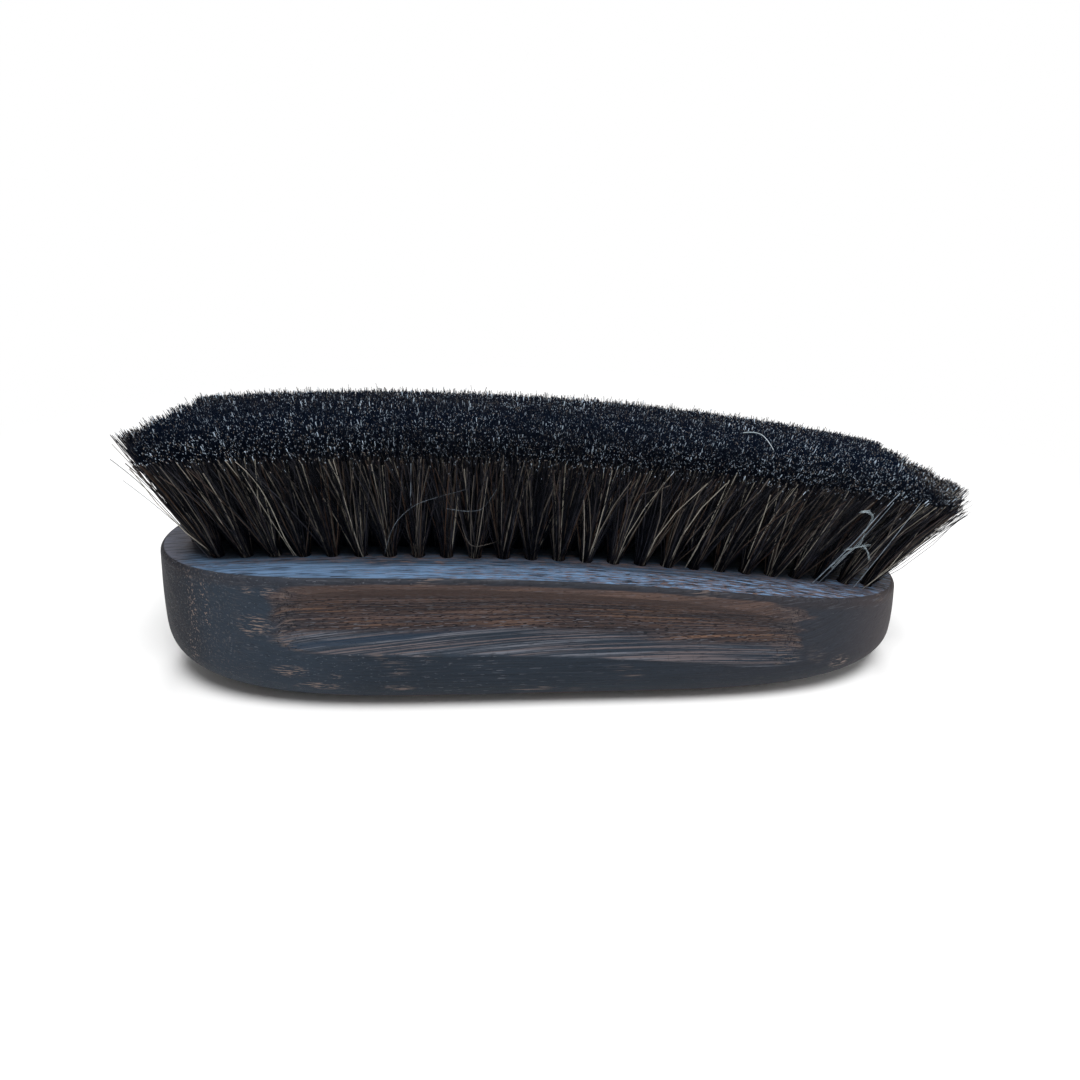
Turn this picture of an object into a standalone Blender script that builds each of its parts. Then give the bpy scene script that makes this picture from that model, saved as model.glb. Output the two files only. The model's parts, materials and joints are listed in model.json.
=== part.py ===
"""A polishing brush: a wooden block with finger grooves, and rows of horsehair tufts set in drilled holes.

The brush lies on its back with the bristles up. Units are metres. +X runs along the block, from its deep
end at -X to its shallow end at +X, +Z points out of the bristle face, and the origin is the centre of the
flat on the back that the brush rests on.
"""

import math
import random

import bmesh
import bpy
import numpy as np
from mathutils import Matrix, Vector

# The wooden block
BLOCK_LENGTH = 0.180
BLOCK_WIDTH = 0.052
BLOCK_HEIGHT = 0.034
FACE_FALL = 0.011
FACE_CROWN = 0.0065
BACK_RISE = 0.003
REST_LENGTH = 0.060
REST_WIDTH = 0.026
RIM_ROUND = 0.0012
SIDE_BULGE = 0.0007
END_ROUND_LENGTH = 0.016
WIDEST_SHARE = 0.425
PLAN_END_POWER = 4.5
PLAN_SIDE_POWER = 2.0
BACK_ROUND_POWER = 2.8
PLAN_POINTS = 88
PLAN_SAMPLES = 2000
BACK_ROUND_RINGS = 6

# The finger groove along each side
GROOVE_RUN = 0.114
GROOVE_HEIGHT = 0.0172
GROOVE_DEPTH = 0.003
GROOVE_TURN = 0.0006
GROOVE_EDGE_DROP = 0.0018
GROOVE_POINTS = 11
GROOVE_END_POINTS = 6
GROOVE_RESOLUTION = 12
GROOVE_WELD = 0.00003

# The drilled rows
TUFTS_IN_ROWS = (25, 26, 27, 26, 25, 24)
GROUPS_IN_A_ROW = 8
TUFT_PITCH = 0.0064
FIELD_OFFSET = 0.002
OUTER_ROW_PLACE = 0.0144
OUTER_ROW_BEND = 0.004
ROW_BEND_POWER = 2.5
HOLE_DIAMETER = 0.0035
HOLE_DEPTH = 0.011
HOLE_SIDES = 6
DRILL_LEAN_SHARE = 0.6

# The slice of backing under each group of tufts
SLICE_WIDTH = 0.0032
SLICE_THICKNESS = 0.0012
SLICE_END_GAP = 0.0008

# The tufts of hair
TUFT_DIAMETER = 0.0032
STRANDS_IN_A_TUFT = 3
ROOT_DIAMETER = 0.0024
ROOT_SIDES = 4
HAIR_HEIGHT = 0.0272
HAIR_CROWN = 0.0062
TIP_OFFSET = 0.0016
OUTER_TIP_PLACE = 0.0200
OUTER_TIP_BEND = 0.0015
LENGTH_SPREAD_SHARE = 0.1
END_SPREAD = 0.0035
END_SPREAD_POWER = 6
STRAND_SPREAD_SHARE = 2.6
STRAND_GROWTH_SHARE = 1.5
TIP_JITTER = 0.00025
JITTER_SEED = 7

# Fits
SEAT_GAP = 0.0003
OVERRUN = 0.004

WOOD = (0.030, 0.024, 0.024, 1.0)
HAIR = (0.012, 0.011, 0.012, 1.0)
ROUGHNESS = 0.5


def face_height(x):
    """Height of the bristle face, which falls towards the shallow end and drops at both ends."""
    share = x / (BLOCK_LENGTH / 2)
    return BLOCK_HEIGHT - FACE_FALL / 2 * share - FACE_CROWN * share**2


def back_height(x):
    """Height of the back, which is flat where the brush rests and rises from there to both ends."""
    beyond = max(abs(x) - REST_LENGTH / 2, 0.0)
    return BACK_RISE * (beyond / (BLOCK_LENGTH / 2 - REST_LENGTH / 2)) ** 2


def tip_height(x):
    """Height of the trimmed ends of the hair."""
    share = x / (BLOCK_LENGTH / 2)
    return BLOCK_HEIGHT + HAIR_HEIGHT - FACE_FALL / 2 * share - HAIR_CROWN * share**2


def plan_shares():
    """Points evenly spaced round the plan, as shares of half the length and half the width."""
    turns = np.linspace(0.0, math.pi / 2, PLAN_SAMPLES)
    along = np.cos(turns) ** (2.0 / PLAN_END_POWER)
    across = np.sin(turns) ** (2.0 / PLAN_SIDE_POWER)
    steps = np.hypot(np.diff(along) * BLOCK_LENGTH, np.diff(across) * BLOCK_WIDTH)
    walked = np.concatenate(([0.0], np.cumsum(steps)))
    quarter = PLAN_POINTS // 4
    places = np.linspace(0.0, walked[-1], quarter + 1)
    corner = list(zip(np.interp(places, walked, along), np.interp(places, walked, across)))
    corner = [(float(a), float(b)) for a, b in corner]
    half = corner + [(-a, b) for a, b in reversed(corner[:-1])]
    return half + [(a, -b) for a, b in reversed(half[1:-1])]


def block_rings():
    """The block's rings from the face to the back: outset at the ends, at the sides, height share and drop."""
    corner = 1.0 - math.sqrt(0.5)
    rings = [
        (-RIM_ROUND, -RIM_ROUND, 1.0, 0.0),
        (-RIM_ROUND * corner, -RIM_ROUND * corner, 1.0, RIM_ROUND * corner),
        (0.0, 0.0, 1.0, RIM_ROUND),
        (SIDE_BULGE * math.sqrt(0.5), SIDE_BULGE * math.sqrt(0.5), (1.0 + WIDEST_SHARE) / 2, 0.0),
        (SIDE_BULGE, SIDE_BULGE, WIDEST_SHARE, 0.0),
    ]
    side_round = (BLOCK_WIDTH - REST_WIDTH) / 2 + SIDE_BULGE
    for number in range(1, BACK_ROUND_RINGS + 1):
        turn = number / BACK_ROUND_RINGS * math.pi / 2
        inward = 1.0 - max(math.cos(turn), 0.0) ** (2.0 / BACK_ROUND_POWER)
        down = math.sin(turn) ** (2.0 / BACK_ROUND_POWER)
        rings.append(
            (
                SIDE_BULGE - END_ROUND_LENGTH * inward,
                SIDE_BULGE - side_round * inward,
                WIDEST_SHARE * (1.0 - down),
                0.0,
            )
        )
    return rings


def new_object(name, mesh, collection, colour=None):
    """Puts a mesh in a collection as an object, with its own material where a colour is given."""
    thing = bpy.data.objects.new(name, mesh)
    collection.objects.link(thing)
    if colour:
        material = bpy.data.materials.new(name)
        material.use_nodes = True
        shader = material.node_tree.nodes["Principled BSDF"]
        shader.inputs["Base Color"].default_value = colour
        shader.inputs["Roughness"].default_value = ROUGHNESS
        shader.inputs["Metallic"].default_value = 0.0
        mesh.materials.append(material)
    return thing


def mesh_from(bm, name):
    """Turns a bmesh into a mesh with its faces pointing out."""
    bmesh.ops.recalc_face_normals(bm, faces=bm.faces)
    mesh = bpy.data.meshes.new(name)
    bm.to_mesh(mesh)
    bm.free()
    return mesh


def strip_cap(bm, ring):
    """Closes a ring with one face and splits it across, so that it bends only along the block."""
    rest = bm.faces.new(ring)
    for step in range(1, len(ring) // 2 - 1):
        halves = {rest, bmesh.utils.face_split(rest, ring[step], ring[-step])[0]}
        rest = next(face for face in halves if ring[step + 1] in face.verts)


def block_mesh():
    """The block's outer shape: a sphere's rings drawn out to the block's plan and heights."""
    rings = block_rings()
    shares = plan_shares()
    bm = bmesh.new()
    bmesh.ops.create_uvsphere(bm, u_segments=PLAN_POINTS, v_segments=len(rings) + 1, radius=1.0)
    poles = [vert for vert in bm.verts if len(vert.link_edges) == PLAN_POINTS]
    bmesh.ops.delete(bm, geom=poles, context="VERTS")
    loops = sorted(bm.verts, key=lambda vert: -vert.co.z)
    for number, (end_outset, side_outset, height_share, drop) in enumerate(rings):
        ring = loops[number * PLAN_POINTS : (number + 1) * PLAN_POINTS]
        ring.sort(key=lambda vert: round(math.atan2(vert.co.y, vert.co.x), 4) % math.tau)
        for vert, (along, across) in zip(ring, shares):
            x = along * (BLOCK_LENGTH / 2 + end_outset)
            y = across * (BLOCK_WIDTH / 2 + side_outset)
            low, high = back_height(x), face_height(x)
            vert.co = (x, y, low + height_share * (high - low) - drop)
        if number in (0, len(rings) - 1):
            strip_cap(bm, ring)
    return mesh_from(bm, "block")


def groove_cutter(side, collection):
    """A round bar with rounded ends that lies along one side, level with the face and a little turned."""
    half_height = GROOVE_HEIGHT / 2
    radius = (half_height**2 + GROOVE_DEPTH**2) / (2 * GROOVE_DEPTH)
    half_run = GROOVE_RUN / 2
    places = [(x, 1.0) for x in np.linspace(-half_run, half_run, GROOVE_POINTS)]
    for number in range(1, GROOVE_END_POINTS + 1):
        turn = number / (GROOVE_END_POINTS + 1) * math.pi / 2
        end = (half_run + radius * math.sin(turn), math.cos(turn))
        places = [(-end[0], end[1])] + places + [end]
    curve = bpy.data.curves.new("groove_path", "CURVE")
    curve.dimensions = "3D"
    curve.bevel_depth = radius
    curve.bevel_resolution = GROOVE_RESOLUTION
    curve.use_fill_caps = True
    spline = curve.splines.new("POLY")
    spline.points.add(len(places) - 1)
    for point, (x, size) in zip(spline.points, places):
        out = BLOCK_WIDTH / 2 + SIDE_BULGE + radius - GROOVE_DEPTH + GROOVE_TURN * x / half_run
        middle = face_height(x) - GROOVE_EDGE_DROP - half_height
        point.co = (x, side * out, middle, 1.0)
        point.radius = size
    path = new_object("groove_path", curve, collection)
    bpy.context.view_layer.update()
    evaluated = path.evaluated_get(bpy.context.evaluated_depsgraph_get())
    mesh = bpy.data.meshes.new_from_object(evaluated)
    bm = bmesh.new()
    bm.from_mesh(mesh)
    bmesh.ops.remove_doubles(bm, verts=bm.verts, dist=GROOVE_WELD)
    bpy.data.objects.remove(path)
    return new_object("groove_cutter", mesh_from(bm, "groove_cutter"), collection)


def tuft_places():
    """Each row's tufts, front row first: where a tuft leaves the face, and where its hair ends."""
    rows = []
    reach = (max(TUFTS_IN_ROWS) - 1) / 2 * TUFT_PITCH
    for row, count in enumerate(TUFTS_IN_ROWS):
        row_share = 2.0 * row / (len(TUFTS_IN_ROWS) - 1) - 1.0
        tufts = []
        for number in range(count):
            along = (number - (count - 1) / 2) * TUFT_PITCH
            end_share = abs(along) / reach
            bend_share = end_share**ROW_BEND_POWER
            x = FIELD_OFFSET + along
            base = Vector((x, row_share * (OUTER_ROW_PLACE - OUTER_ROW_BEND * bend_share), face_height(x)))
            end = END_SPREAD * end_share**END_SPREAD_POWER
            tip_x = x + LENGTH_SPREAD_SHARE * along + math.copysign(end, along) + TIP_OFFSET
            tip_y = row_share * (OUTER_TIP_PLACE - OUTER_TIP_BEND * bend_share)
            tufts.append((base, Vector((tip_x, tip_y, tip_height(tip_x)))))
        rows.append(tufts)
    return rows


def grouped(row):
    """A row's tufts in even groups of neighbours."""
    cuts = [round(number * len(row) / GROUPS_IN_A_ROW) for number in range(GROUPS_IN_A_ROW + 1)]
    return [row[start:stop] for start, stop in zip(cuts, cuts[1:])]


def slice_frame(group):
    """The frame of a group's slice: its X runs along the row and its Z out of the face."""
    first, last = group[0][0], group[-1][0]
    along = (last - first).normalized()
    across = Vector((0.0, 0.0, 1.0)).cross(along).normalized()
    frame = Matrix((along, across, along.cross(across))).transposed().to_4x4()
    frame.translation = (first + last) / 2
    return frame


def slice_length(group):
    """How long a group's slice is: one pitch for each tuft, less the wood left between two groups."""
    return len(group) * TUFT_PITCH - SLICE_END_GAP - 2 * SEAT_GAP


def drill_axis(base, tip):
    """The direction of a tuft's hole, which leans less than its hair does."""
    lean = tip - base
    return Vector((lean.x * DRILL_LEAN_SHARE, lean.y * DRILL_LEAN_SHARE, lean.z)).normalized()


def pocket_mesh(groups):
    """Boxes that sink each slice's seat into the face."""
    bm = bmesh.new()
    for group in groups:
        low = -SLICE_THICKNESS - SEAT_GAP
        size = (slice_length(group) + 2 * SEAT_GAP, SLICE_WIDTH + 2 * SEAT_GAP, OVERRUN - low)
        place = Matrix.Translation((0.0, 0.0, (OVERRUN + low) / 2)) @ Matrix.Diagonal((*size, 1.0))
        bmesh.ops.create_cube(bm, size=1.0, matrix=slice_frame(group) @ place)
    return mesh_from(bm, "pockets")


def hole_mesh(groups):
    """Flat-sided drills, one for each tuft, that start in the open pocket and stop at the hole's bottom."""
    bm = bmesh.new()
    for group in groups:
        for base, tip in group:
            axis = drill_axis(base, tip)
            top = base - axis * (SLICE_THICKNESS / 2)
            bottom = base - axis * HOLE_DEPTH
            turn = axis.to_track_quat("Z", "Y").to_matrix().to_4x4()
            bmesh.ops.create_cone(
                bm,
                cap_ends=True,
                segments=HOLE_SIDES,
                radius1=HOLE_DIAMETER / 2,
                radius2=HOLE_DIAMETER / 2,
                depth=(top - bottom).length,
                matrix=Matrix.Translation((top + bottom) / 2) @ turn,
            )
    return mesh_from(bm, "holes")


def loop_edges(verts):
    """The edges among the vertices that create_circle has just made."""
    return list({edge for vert in verts for edge in vert.link_edges})


def circle(bm, radius, sides, frame):
    """A bare ring of vertices in a frame, and its edges."""
    made = bmesh.ops.create_circle(bm, cap_ends=False, segments=sides, radius=radius, matrix=frame)
    return made["verts"], loop_edges(made["verts"])


def rectangle(bm, length, width, height):
    """A bare rectangle at a height of the slice's frame, made from a ring of four."""
    turned = Matrix.Rotation(math.pi / 4, 4, "Z")
    half_sizes = Matrix.Diagonal((length / 2, width / 2, 1.0, 1.0))
    place = Matrix.Translation((0.0, 0.0, height)) @ half_sizes @ turned
    return circle(bm, math.sqrt(2.0), 4, place)[1]


def rhombi(bm, edges):
    """Fills a ring and splits it into four-sided parts, one for each strand, that meet at its centre."""
    face = bmesh.ops.contextual_create(bm, geom=edges)["faces"][0]
    poked = bmesh.ops.poke(bm, faces=[face])
    centre = poked["verts"][0]
    spokes = sorted(
        centre.link_edges,
        key=lambda edge: math.atan2(*(edge.other_vert(centre).co - centre.co).yx),
    )
    bmesh.ops.dissolve_edges(bm, edges=spokes[::2], use_verts=False)
    return list(centre.link_faces)


def group_mesh(group, frame, jitter):
    """One group of tufts: a slice of backing, the folded roots under it and the strands above it."""
    bm = bmesh.new()
    inverse = frame.inverted()
    length = slice_length(group)
    top_edges = rectangle(bm, length, SLICE_WIDTH, 0.0)
    low_edges = rectangle(bm, length, SLICE_WIDTH, -SLICE_THICKNESS)
    bmesh.ops.bridge_loops(bm, edges=top_edges + low_edges)
    tuft_rings, root_rings = [], []
    for base, tip in group:
        axis = inverse.to_3x3() @ drill_axis(base, tip)
        middle = inverse @ base
        middle.z = 0.0
        under = middle - axis * (SLICE_THICKNESS / axis.z)
        tuft_rings.append(circle(bm, TUFT_DIAMETER / 2, 2 * STRANDS_IN_A_TUFT, Matrix.Translation(middle))[1])
        root_rings.append(circle(bm, ROOT_DIAMETER / 2, ROOT_SIDES, Matrix.Translation(under))[1])
    for outline, rings, way in ((top_edges, tuft_rings, 1.0), (low_edges, root_rings, -1.0)):
        edges = outline + [edge for ring in rings for edge in ring]
        bmesh.ops.triangle_fill(bm, use_beauty=True, use_dissolve=False, edges=edges, normal=(0.0, 0.0, way))
    for (base, tip), tuft_ring, root_ring in zip(group, tuft_rings, root_rings):
        axis = inverse.to_3x3() @ drill_axis(base, tip)
        grow_strands(bm, tuft_ring, inverse, base, tip, jitter)
        root = bmesh.ops.contextual_create(bm, geom=root_ring)["faces"]
        sunk = bmesh.ops.extrude_discrete_faces(bm, faces=root)["faces"]
        slant = math.hypot(axis.x, axis.y) / axis.z
        reach = HOLE_DEPTH - SEAT_GAP - SLICE_THICKNESS / axis.z - ROOT_DIAMETER / 2 * slant
        bmesh.ops.translate(bm, verts=sunk[0].verts[:], vec=-axis * reach)
    return mesh_from(bm, "tufts")


def grow_strands(bm, ring, inverse, base, tip, jitter):
    """Four-sided strands that rise from one ring and part on the way to the trimmed top."""
    foot = inverse @ base
    foot.z = 0.0
    ends = bmesh.ops.extrude_discrete_faces(bm, faces=rhombi(bm, ring))["faces"]
    for end in ends:
        heart = end.calc_center_median() - foot
        shift = Vector((jitter.uniform(-1.0, 1.0), jitter.uniform(-1.0, 1.0), 0.0)) * TIP_JITTER
        for vert in end.verts:
            offset = heart * STRAND_SPREAD_SHARE + (vert.co - foot - heart) * STRAND_GROWTH_SHARE
            spot = tip + offset + shift
            spot.z = tip_height(spot.x) + shift.x
            vert.co = inverse @ spot


def cut(thing, cutter):
    """Takes a cutter's shape away from a piece."""
    cutter.hide_render = True
    cutter.display_type = "WIRE"
    modifier = thing.modifiers.new(cutter.name, "BOOLEAN")
    modifier.operation = "DIFFERENCE"
    modifier.solver = "EXACT"
    modifier.object = cutter


def main():
    for thing in list(bpy.data.objects):
        bpy.data.objects.remove(thing)
    brush = bpy.data.collections.new("polishing_brush")
    cutters = bpy.data.collections.new("cutters")
    bpy.context.scene.collection.children.link(brush)
    bpy.context.scene.collection.children.link(cutters)
    base = bpy.data.objects.new("polishing_brush", None)
    brush.objects.link(base)

    rows = [grouped(row) for row in tuft_places()]
    groups = [group for row in rows for group in row]

    block = new_object("block", block_mesh(), brush, WOOD)
    block.parent = base
    for side in (-1, 1):
        cut(block, groove_cutter(side, cutters))
    cut(block, new_object("pocket_cutter", pocket_mesh(groups), cutters))
    cut(block, new_object("hole_cutter", hole_mesh(groups), cutters))

    jitter = random.Random(JITTER_SEED)
    for row_number, row in enumerate(rows, start=1):
        for group_number, group in enumerate(row, start=1):
            frame = slice_frame(group)
            mesh = group_mesh(group, frame, jitter)
            tufts = new_object(f"tufts_row_{row_number}_group_{group_number}", mesh, brush, HAIR)
            tufts.parent = base
            tufts.matrix_world = frame


main()
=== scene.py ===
"""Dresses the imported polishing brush: a stained wooden block, horsehair grown tuft by tuft, strays and lint.

It is laid out as a Blender add-on and run as a script. Everything is in metres, in the frame of the CAD
model: +X along the block to its shallow end, +Z out of the bristle face.
"""

import json
import math
import random

import bmesh
import bpy
import numpy as np
from mathutils import Matrix, Vector

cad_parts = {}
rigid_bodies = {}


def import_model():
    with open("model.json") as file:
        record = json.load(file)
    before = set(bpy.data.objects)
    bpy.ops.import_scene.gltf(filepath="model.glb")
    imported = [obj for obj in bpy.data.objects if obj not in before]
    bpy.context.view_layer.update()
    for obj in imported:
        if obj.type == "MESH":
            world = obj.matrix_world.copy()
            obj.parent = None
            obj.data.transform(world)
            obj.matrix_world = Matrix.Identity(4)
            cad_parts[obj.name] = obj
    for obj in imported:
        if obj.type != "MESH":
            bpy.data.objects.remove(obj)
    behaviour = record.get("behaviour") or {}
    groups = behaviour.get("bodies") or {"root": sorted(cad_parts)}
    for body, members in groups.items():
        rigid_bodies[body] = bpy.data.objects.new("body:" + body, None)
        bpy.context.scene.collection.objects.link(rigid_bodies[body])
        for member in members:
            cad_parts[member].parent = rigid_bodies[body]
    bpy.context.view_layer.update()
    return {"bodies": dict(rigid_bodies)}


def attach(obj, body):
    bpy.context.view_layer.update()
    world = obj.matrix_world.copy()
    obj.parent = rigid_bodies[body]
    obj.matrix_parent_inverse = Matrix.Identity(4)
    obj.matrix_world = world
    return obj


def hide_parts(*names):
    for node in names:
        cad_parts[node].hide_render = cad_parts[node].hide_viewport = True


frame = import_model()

bl_info = {
    "name": "Polishing brush",
    "version": (1, 0, 0),
    "blender": (4, 5, 0),
    "location": "3D View > Sidebar > Brush",
    "description": "Builds a wooden polishing brush with horsehair tufts",
    "category": "Add Mesh",
}

BODY = next(iter(frame["bodies"]))


def length(name, default, description):
    """A size in metres."""
    return bpy.props.FloatProperty(
        name=name, default=default, description=description, subtype="DISTANCE", unit="LENGTH", precision=5
    )


def share(name, default, description):
    """A bare share or factor."""
    return bpy.props.FloatProperty(name=name, default=default, description=description, subtype="FACTOR")


def angle(name, default, description):
    """An angle in radians."""
    return bpy.props.FloatProperty(
        name=name, default=default, description=description, subtype="ANGLE", unit="ROTATION"
    )


def colour(name, default, description):
    """A colour in linear light."""
    return bpy.props.FloatVectorProperty(
        name=name, default=default, description=description, subtype="COLOR", size=3, min=0.0, max=1.0
    )


def count(name, default, description):
    """A whole number."""
    return bpy.props.IntProperty(name=name, default=default, description=description, min=1)


def group(kind, name, description):
    """A group of settings."""
    return bpy.props.PointerProperty(type=kind, name=name, description=description)


class BlockSizes(bpy.types.PropertyGroup):
    """The wooden block."""

    length: length("Length", 0.180, "Length of the block at its rim")
    width: length("Width", 0.052, "Width of the block at its rim")
    height: length("Height", 0.034, "Height of the bristle face in the middle")
    face_fall: length("Face fall", 0.011, "How much lower the face is at the shallow end")
    face_crown: length("Face crown", 0.0065, "How far the face drops towards both ends")
    back_rise: length("Back rise", 0.003, "How far the back rises towards both ends")
    rest_length: length("Rest length", 0.060, "Length of the flat on the back")
    rest_width: length("Rest width", 0.026, "Width of the flat on the back")
    rim_round: length("Rim round", 0.0012, "Radius of the rim of the face")
    side_bulge: length("Side bulge", 0.0007, "How far the sides swell below the rim")
    end_round: length("End round", 0.016, "How far the ends are rounded under")
    widest: share("Widest level", 0.425, "Where the side is widest, as a share of the height")


class GrooveSizes(bpy.types.PropertyGroup):
    """The finger groove along each side."""

    run: length("Run", 0.114, "Length of the groove's full depth")
    height: length("Height", 0.0172, "Height of the groove")
    depth: length("Depth", 0.003, "Depth of the groove")
    turn: length("Turn", 0.0006, "How much shallower the groove gets towards the shallow end")
    edge_drop: length("Edge drop", 0.0018, "How far the groove starts below the face")


class TuftSizes(bpy.types.PropertyGroup):
    """The drilled rows and the hair in them."""

    pitch: length("Pitch", 0.0064, "Distance between tufts in a row")
    field_offset: length("Field offset", 0.002, "How far the rows sit towards the shallow end")
    outer_place: length("Outer row", 0.0144, "Distance of the outer rows from the middle")
    outer_bend: length("Outer row bend", 0.004, "How far the outer rows bend in at their ends")
    hole_diameter: length("Hole diameter", 0.0031, "Diameter of a drilled hole")
    hole_depth: length("Hole depth", 0.011, "Depth of a drilled hole")
    drill_lean: share("Drill lean", 0.6, "How much of the hair's lean a hole has")
    hair_height: length("Hair height", 0.0272, "Height of the trimmed hair above the face")
    hair_crown: length("Hair crown", 0.0062, "How far the trimmed top drops towards both ends")
    tip_offset: length("Tip offset", 0.0016, "How far the trimmed ends sit towards the shallow end")
    tip_place: length("Outer tips", 0.0200, "Distance of the outer rows' tips from the middle")
    tip_bend: length("Outer tip bend", 0.0015, "How far the outer tips bend in at their ends")
    spread: share("Spread", 0.1, "How much further apart the tips are than the holes")
    end_spread: length("End spread", 0.0020, "How much further the end tufts fan out")
    hairs: count("Hairs in a tuft", 600, "Number of hairs in one tuft")
    thickness: length("Hair thickness", 0.00018, "Thickness of a hair at its root")
    foot_radius: length("Foot radius", 0.00130, "Radius of the bundle where it leaves its hole")
    fan_along: length("Fan along", 0.0036, "Radius of the bundle's tips along the row")
    fan_across: length("Fan across", 0.0036, "Radius of the bundle's tips across the row")
    roughness: length("Trim roughness", 0.00026, "How uneven the trimmed ends are")
    bow: length("Bow", 0.0011, "How far a hair bows out of line")


class Finishes(bpy.types.PropertyGroup):
    """The colours of the wood and the hair."""

    stain: colour("Stain", (0.0165, 0.0238, 0.0345), "Dark stain on the sides and back")
    # Partly stain and partly painted sheen: the face's blue-grey stands in for light reflected from above,
    # lightest along the rim.
    face: colour("Face", (0.100, 0.170, 0.278), "Blue-grey satin stain on the bristle face")
    dusty: colour("Dusty stain", (0.115, 0.098, 0.110), "Duller streaks of the bristle face")
    bare: colour("Bare wood", (0.100, 0.066, 0.056), "Brown wood that shows in the groove")
    warm: colour("Warm wood", (0.170, 0.098, 0.066), "Lighter patches of the bare wood")
    worn: colour("Worn marks", (0.150, 0.115, 0.102), "Wood that shows through worn marks on the sides")
    # Partly pale wood and partly painted sheen: low in the grooves, where the wood faces up, and in the glints on
    # the sides, this grey-blue stands in for reflected light.
    sheen: colour("Sheen", (0.105, 0.110, 0.130), "Greyer wood low in the groove")
    pore: colour("Pores", (0.006, 0.006, 0.008), "Open pores of the grain")
    dark_hair: colour("Dark hair", (0.0018, 0.0024, 0.0044), "Most of the hair")
    # Painted shade: the near-black put between the ends of the hair and low between the rows.
    gap: colour("Gaps", (0.0014, 0.0034, 0.0086), "Darkness between the ends of the hair")
    brown_hair: colour("Brown hair", (0.0200, 0.0205, 0.0260), "Brown hairs among the dark ones")
    tan_hair: colour("Tan hair", (0.084, 0.075, 0.067), "Lighter brown hairs")
    rusty_hair: colour("Rusty hair", (0.060, 0.036, 0.026), "Reddish brown hairs")
    pale_hair: colour("Pale hair", (0.300, 0.280, 0.240), "A few pale hairs")
    tip: colour("Tips", (0.640, 0.780, 0.940), "Cut ends of the hair, which catch the light")
    lit_brown: colour("Brown tips", (0.420, 0.370, 0.330), "Cut ends of the browner hair")
    lint: colour("Lint", (0.330, 0.400, 0.440), "A wisp of lint caught in the hair")


class StageSettings(bpy.types.PropertyGroup):
    """The camera and the floor."""

    yaw: angle("Yaw", -0.112, "Turn of the camera about the upright")
    rise: angle("Rise", 0.457, "Angle of the camera above the floor")
    roll: angle("Roll", 0.040, "Tilt of the picture")
    distance: length("Distance", 0.236945, "Distance of the camera from its target")
    target: length("Target height", 0.032, "Height of the camera's target")
    floor: colour("Floor", (0.80, 0.80, 0.80), "Pale floor")


class BrushSettings(bpy.types.PropertyGroup):
    """All settings of the brush."""

    block: group(BlockSizes, "Block", "Sizes of the wooden block")
    groove: group(GrooveSizes, "Grooves", "Sizes of the finger grooves")
    tufts: group(TuftSizes, "Tufts", "Sizes of the drilled rows and their hair")
    finishes: group(Finishes, "Finishes", "Colours of the wood and the hair")
    stage: group(StageSettings, "Stage", "The camera and the floor")


# Shapes shared by the pieces
TUFTS_IN_ROWS = (25, 26, 27, 26, 25, 24)
GROUPS_IN_A_ROW = 8
ROW_BEND_POWER = 2.5
END_SPREAD_POWER = 6
PLAN_END_POWER = 4.5
PLAN_SIDE_POWER = 2.0
BACK_ROUND_POWER = 2.8
PLAN_POINTS = 352
PLAN_SAMPLES = 4000
RIM_RINGS = 5
SIDE_RINGS = 6
BACK_RINGS = 22
GROOVE_POINTS = 57
GROOVE_END_POINTS = 22
GROOVE_RESOLUTION = 40
WELD_SHARE = 0.00025
SHARP_ANGLE = math.radians(28.0)
HOLE_SIDES = 24
OVERRUN = 0.002


def face_height(brush, x):
    """Height of the bristle face at a place along the block."""
    at = x / (brush.block.length / 2)
    return brush.block.height - brush.block.face_fall / 2 * at - brush.block.face_crown * at**2


def back_height(brush, x):
    """Height of the back at a place along the block."""
    flat = brush.block.rest_length / 2
    beyond = max(abs(x) - flat, 0.0)
    return brush.block.back_rise * (beyond / (brush.block.length / 2 - flat)) ** 2


def trim_terms(brush):
    """The trimmed top's height in the middle, its slope and its bend along the block."""
    half = brush.block.length / 2
    top = brush.block.height + brush.tufts.hair_height
    return top, -brush.block.face_fall / 2 / half, -brush.tufts.hair_crown / half**2


def tip_height(brush, x):
    """Height of the trimmed hair at a place along the block."""
    top, slope, bend = trim_terms(brush)
    return top + slope * x + bend * x**2


def tuft_places(brush):
    """Each row's tufts, front row first: where a tuft leaves the face, and where its hair ends."""
    sizes = brush.tufts
    rows = []
    reach = (max(TUFTS_IN_ROWS) - 1) / 2 * sizes.pitch
    for row, tufts_in_row in enumerate(TUFTS_IN_ROWS):
        row_share = 2.0 * row / (len(TUFTS_IN_ROWS) - 1) - 1.0
        tufts = []
        for number in range(tufts_in_row):
            along = (number - (tufts_in_row - 1) / 2) * sizes.pitch
            end_share = abs(along) / reach
            bend_share = end_share**ROW_BEND_POWER
            x = sizes.field_offset + along
            y = row_share * (sizes.outer_place - sizes.outer_bend * bend_share)
            base = Vector((x, y, face_height(brush, x)))
            end = sizes.end_spread * end_share**END_SPREAD_POWER
            tip_x = x + sizes.spread * along + math.copysign(end, along) + sizes.tip_offset
            tip_y = row_share * (sizes.tip_place - sizes.tip_bend * bend_share)
            tufts.append((base, Vector((tip_x, tip_y, tip_height(brush, tip_x)))))
        rows.append(tufts)
    return rows


def drill_axis(brush, base, tip):
    """The direction of a tuft's hole, which leans less than its hair does."""
    lean = tip - base
    part = brush.tufts.drill_lean
    return Vector((lean.x * part, lean.y * part, lean.z)).normalized()


# Helpers for meshes and node trees


def new_piece(name, mesh, material=None):
    """Puts a mesh into the scene as a piece of the brush."""
    piece = bpy.data.objects.new(name, mesh)
    bpy.context.scene.collection.objects.link(piece)
    if material:
        mesh.materials.clear()
        mesh.materials.append(material)
    return piece


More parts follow.
